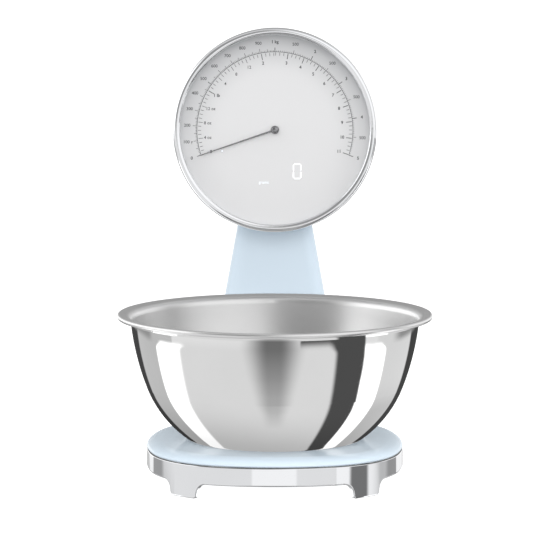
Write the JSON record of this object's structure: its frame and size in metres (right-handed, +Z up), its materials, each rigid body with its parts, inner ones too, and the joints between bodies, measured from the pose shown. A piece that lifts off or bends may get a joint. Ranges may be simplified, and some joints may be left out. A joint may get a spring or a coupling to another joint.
{
  "type": "kitchen scale",
  "caption": "Kitchen scale with a round pointer dial on a tapered column, a floating platform on a chrome footed base, and a lift-off steel mixing bowl.",
  "frame": {"origin": "on the table, under the middle of the overall box", "axes": "+Z up, +X to the right of someone reading the dial, who stands at -Y"},
  "size_m": [0.2582, 0.2991, 0.3665],
  "materials": {
    "chrome": "mirror-polished chrome plate",
    "pale_blue": "glossy pale blue",
    "stainless": "polished outside, finely brushed inside",
    "dial_glass": "clear flat glass",
    "dial_print": "satin light grey with printed scales",
    "white_plastic": "satin white moulding",
    "base_plastic": "fine-textured light grey moulding",
    "button_plastic": "satin silver grey",
    "rubber": "matt",
    "fastener_steel": "zinc-plated",
    "bare_aluminium": "milled",
    "circuit_board": "solder mask",
    "cable_sheath": "satin",
    "battery_wrap": "printed film, plain",
    "black_plastic": "moulded",
    "light_pipe": "clear white",
    "dark_chrome": "dark nickel"
  },
  "bodies": {
    "base": {"amplifier_board": "circuit_board", "base_deck": "pale_blue", "base_ring": "chrome", "batteries": "battery_wrap", "battery_contacts": "fastener_steel", "bottom_cover": "base_plastic", "bottom_screws": "fastener_steel", "button_switches": "black_plastic", "column_core": "fastener_steel", "column_front_shell": "pale_blue", "column_rear_shell": "pale_blue", "column_screws": "fastener_steel", "core_screws": "fastener_steel", "dial_bezel": "chrome", "dial_carrier": "white_plastic", "dial_face": "dial_print", "dial_glass": "dial_glass", "face_spacer": "white_plastic", "foot_pads": "rubber", "gauge_motor": "black_plastic", "gauge_wire": "cable_sheath", "glass_gasket": "rubber", "head_bracket": "bare_aluminium", "head_screws": "fastener_steel", "head_shell": "pale_blue", "led_display": "black_plastic", "load_cell": "bare_aluminium", "load_cell_screws": "fastener_steel", "main_board": "circuit_board", "motor_screws": "fastener_steel", "overload_stop": "fastener_steel", "signal_cable": "cable_sheath", "status_light": "light_pipe", "unit_display": "black_plastic"},
    "platform": {"platform_plate": "pale_blue", "platform_spider": "bare_aluminium", "spider_screws": "fastener_steel"},
    "bowl": {"mixing_bowl": "stainless"},
    "pointer": {"pointer_shaft": "dark_chrome", "pointer_needle": "dark_chrome", "pointer_cap": "dark_chrome"},
    "tare_button": {"tare_button": "button_plastic"},
    "unit_button": {"unit_button": "button_plastic"},
    "battery_door": {"battery_door": "base_plastic"}
  },
  "joints": [
    {"name": "platform_press", "type": "slide", "parent": "base", "child": "platform", "axis": [0, 0, -1], "range_m": [0, 0.0005], "stiffness_N_per_m": 90000, "springref_m": -0.00012, "deforming": ["load_cell"]},
    {"name": "bowl_lift", "type": "slide", "parent": "platform", "child": "bowl", "axis": [0, -0.7071, 0.7071], "range_m": [0, 0.3]},
    {"name": "pointer_turn", "type": "hinge", "parent": "base", "child": "pointer", "pos_m": [0, 0.09955, 0.2793], "axis": [0, 0.9976, -0.0698], "range_deg": [0, 217.6]},
    {"name": "tare_press", "type": "slide", "parent": "base", "child": "tare_button", "axis": [0, -0.9976, 0.0698], "range_m": [0, 0.0012], "stiffness_N_per_m": 1500, "springref_m": -0.0003},
    {"name": "unit_press", "type": "slide", "parent": "base", "child": "unit_button", "axis": [0, -0.9976, 0.0698], "range_m": [0, 0.0012], "stiffness_N_per_m": 1500, "springref_m": -0.0003},
    {"name": "battery_door_slide", "type": "slide", "parent": "base", "child": "battery_door", "axis": [0, 1, 0], "range_m": [0, 0.058]}
  ]
}
